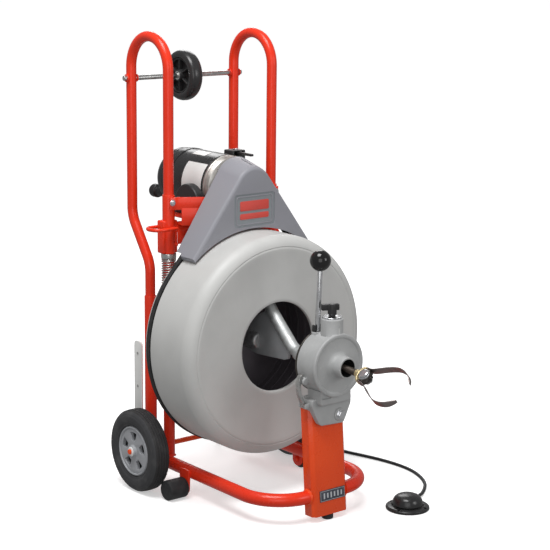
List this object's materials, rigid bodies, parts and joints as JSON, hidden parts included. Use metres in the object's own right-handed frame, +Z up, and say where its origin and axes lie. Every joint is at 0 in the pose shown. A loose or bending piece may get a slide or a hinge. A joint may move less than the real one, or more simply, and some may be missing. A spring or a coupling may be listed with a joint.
{
  "type": "drum drain cleaning machine",
  "caption": "Upright wheeled drain cleaner: a belt driven cable drum, feed unit with lever and two bladed cutter on the front column, and an air foot pedal on a hose",
  "frame": {"origin": "centre of the front rubber foot's underside, on the floor", "axes": "+Z up, the front with the feed unit and cutter faces -Y, +X to the machine's left hand as it looks towards -Y"},
  "size_m": [0.6735, 0.9133, 1.1241],
  "materials": {
    "red": "gloss",
    "drum": "satin",
    "cast": "satin",
    "guard": "matte",
    "steel": "satin",
    "dark_steel": "satin",
    "brass": "satin",
    "black": "semi gloss",
    "black_plastic": "satin",
    "ball": "gloss",
    "rubber": "matte",
    "tyre": "matte",
    "hub": "satin",
    "white": "satin",
    "plate": "satin"
  },
  "bodies": {
    "base": {"base_tube": "red", "front_column": "red", "column_plate": "plate", "front_foot": "rubber", "side_frame_left": "red", "side_frame_right": "red", "drum_carrier": "red", "rear_bar": "red", "wheel_axle": "red", "rear_foot_left": "rubber", "rear_foot_right": "rubber", "stair_slide_left": "white", "stair_slide_right": "white", "spring_left": "steel", "spring_right": "steel", "drive_belt": "rubber", "feed_base": "cast", "feed_housing": "cast", "feed_rear_cover": "dark_steel", "pedal_base": "black_plastic", "air_hose": "rubber", "hose_coil": "rubber", "hose_riser": "rubber"},
    "left_wheel": {"tyre_left": "tyre", "wheel_hub_left": "hub"},
    "right_wheel": {"tyre_right": "tyre", "wheel_hub_right": "hub"},
    "carriage": {"handle_left": "red", "handle_right": "red", "sleeve_block_left": "red", "sleeve_block_right": "red", "motor_bracket": "red", "motor_body": "black", "motor_front_bell": "steel", "belt_guard": "guard", "loading_axle": "steel"},
    "loading_wheel": {"loading_tyre": "tyre", "loading_hub": "hub"},
    "drum": {"drum_front_shell": "drum", "drum_rear_shell": "drum", "inner_drum": "black_plastic", "guide_arm": "cast", "stored_cable": "dark_steel", "drum_shaft": "steel", "drain_cable": "dark_steel", "cutter_yoke": "brass", "cutter_clamp": "dark_steel", "cutter_blade_1": "dark_steel", "cutter_blade_2": "dark_steel"},
    "rotor": {"motor_pulley": "dark_steel"},
    "switch_arm": {"switch_lever": "black_plastic"},
    "feed_handle": {"feed_lever": "steel", "lever_ball": "ball"},
    "selector": {"selector_knob": "black_plastic"},
    "latch_hook": {"latch": "steel"},
    "pedal_button": {"pedal_dome": "black_plastic"},
    "roller_1": {"feed_roller_1": "steel"},
    "roller_2": {"feed_roller_2": "steel"},
    "roller_3": {"feed_roller_3": "steel"}
  },
  "joints": [
    {"name": "carriage_slide", "type": "slide", "parent": "base", "child": "carriage", "axis": [0, 0, 1], "range_m": [-0.004, 0], "stiffness_N_per_m": 90000, "springref_m": 0.012, "deforming": ["spring_left", "spring_right", "drive_belt"]},
    {"name": "left_wheel_spin", "type": "hinge", "parent": "base", "child": "left_wheel", "pos_m": [-0.24055, 0.4352, 0.1034], "axis": [1, 0, 0], "continuous": true},
    {"name": "right_wheel_spin", "type": "hinge", "parent": "base", "child": "right_wheel", "pos_m": [0.24055, 0.4352, 0.1034], "axis": [1, 0, 0], "continuous": true},
    {"name": "loading_wheel_spin", "type": "hinge", "parent": "carriage", "child": "loading_wheel", "pos_m": [0, 0.5815, 1.006], "axis": [1, 0, 0], "continuous": true},
    {"name": "drum_spin", "type": "hinge", "parent": "base", "child": "drum", "pos_m": [0, 0.3, 0.38], "axis": [0, 1, 0], "continuous": true},
    {"name": "rotor_spin", "type": "hinge", "parent": "carriage", "child": "rotor", "pos_m": [0, 0.3511, 0.748], "axis": [0, 1, 0], "continuous": true},
    {"name": "switch_turn", "type": "hinge", "parent": "carriage", "child": "switch_arm", "pos_m": [0.04, 0.418, 0.824], "axis": [0, 0, 1], "range_deg": [-12, 12]},
    {"name": "feed_lever_hinge", "type": "hinge", "parent": "base", "child": "feed_handle", "pos_m": [-0.017, 0.0262, 0.462], "axis": [1, 0, 0], "range_deg": [-20, 5]},
    {"name": "selector_turn", "type": "hinge", "parent": "base", "child": "selector", "pos_m": [0, -0.0045, 0.4929], "axis": [0, 0, 1], "range_deg": [-10, 90]},
    {"name": "latch_hinge", "type": "hinge", "parent": "base", "child": "latch_hook", "pos_m": [-0.0665, 0.0125, 0.286], "axis": [0, 1, 0], "range_deg": [-50, 0]},
    {"name": "pedal_press", "type": "slide", "parent": "base", "child": "pedal_button", "axis": [0, 0, -1], "range_m": [0, 0.005], "stiffness_N_per_m": 1500, "springref_m": -0.003},
    {"name": "roller_1_spin", "type": "hinge", "parent": "base", "child": "roller_1", "pos_m": [0, 0.006, 0.4032], "axis": [0, 1, 0], "continuous": true},
    {"name": "roller_2_spin", "type": "hinge", "parent": "base", "child": "roller_2", "pos_m": [-0.02009, 0.006, 0.3684], "axis": [0, 1, 0], "continuous": true},
    {"name": "roller_3_spin", "type": "hinge", "parent": "base", "child": "roller_3", "pos_m": [0.02009, 0.006, 0.3684], "axis": [0, 1, 0], "continuous": true}
  ],
  "couplings": [
    {"joint": "rotor_spin", "follows": "drum_spin", "ratio": 8.552}
  ]
}
